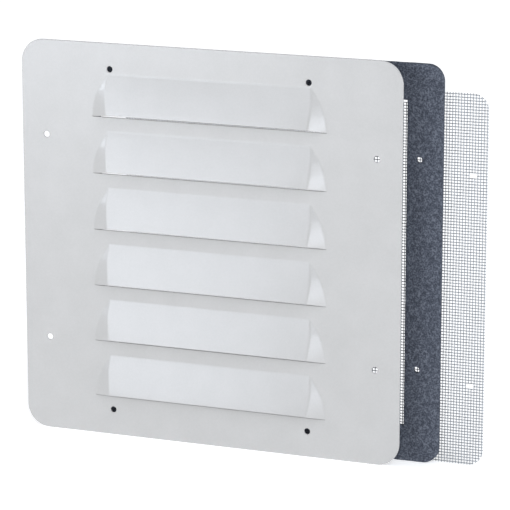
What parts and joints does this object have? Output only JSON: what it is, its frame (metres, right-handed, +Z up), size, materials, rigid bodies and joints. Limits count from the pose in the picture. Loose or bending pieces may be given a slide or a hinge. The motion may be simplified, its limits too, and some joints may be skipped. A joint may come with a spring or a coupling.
{
  "type": "louvred vent cover",
  "caption": "Square louvred vent cover kit: a pressed, powder-coated face plate, a foam sealing gasket and a woven wire insect screen, shown as loose layers.",
  "frame": {"origin": "centre of the face plate's eight fixing holes, on the plate's rear face", "axes": "+X right seen from the front, +Y back into the wall, +Z up; louvres open downwards and face -Y"},
  "size_m": [0.3468, 0.0304, 0.292],
  "materials": {
    "powder_coat": "fine satin powder coat, light grey",
    "foam": "matt open-faced foam, dark blue grey",
    "warp_wire": "bright drawn wire",
    "weft_wire": "bright drawn wire"
  },
  "bodies": {
    "face_plate": {"louvre_plate": "powder_coat"},
    "gasket": {"foam_gasket": "foam"},
    "screen": {"screen_warp_wires": "warp_wire", "screen_weft_wires": "weft_wire"}
  },
  "joints": [
    {"name": "gasket_seating", "type": "slide", "parent": "face_plate", "child": "gasket", "axis": [-0.8544, -0.5163, 0.0589], "range_m": [0, 0.02972]},
    {"name": "screen_seating", "type": "slide", "parent": "gasket", "child": "screen", "axis": [-0.966, -0.0601, 0.2515], "range_m": [0, 0.03913]}
  ]
}
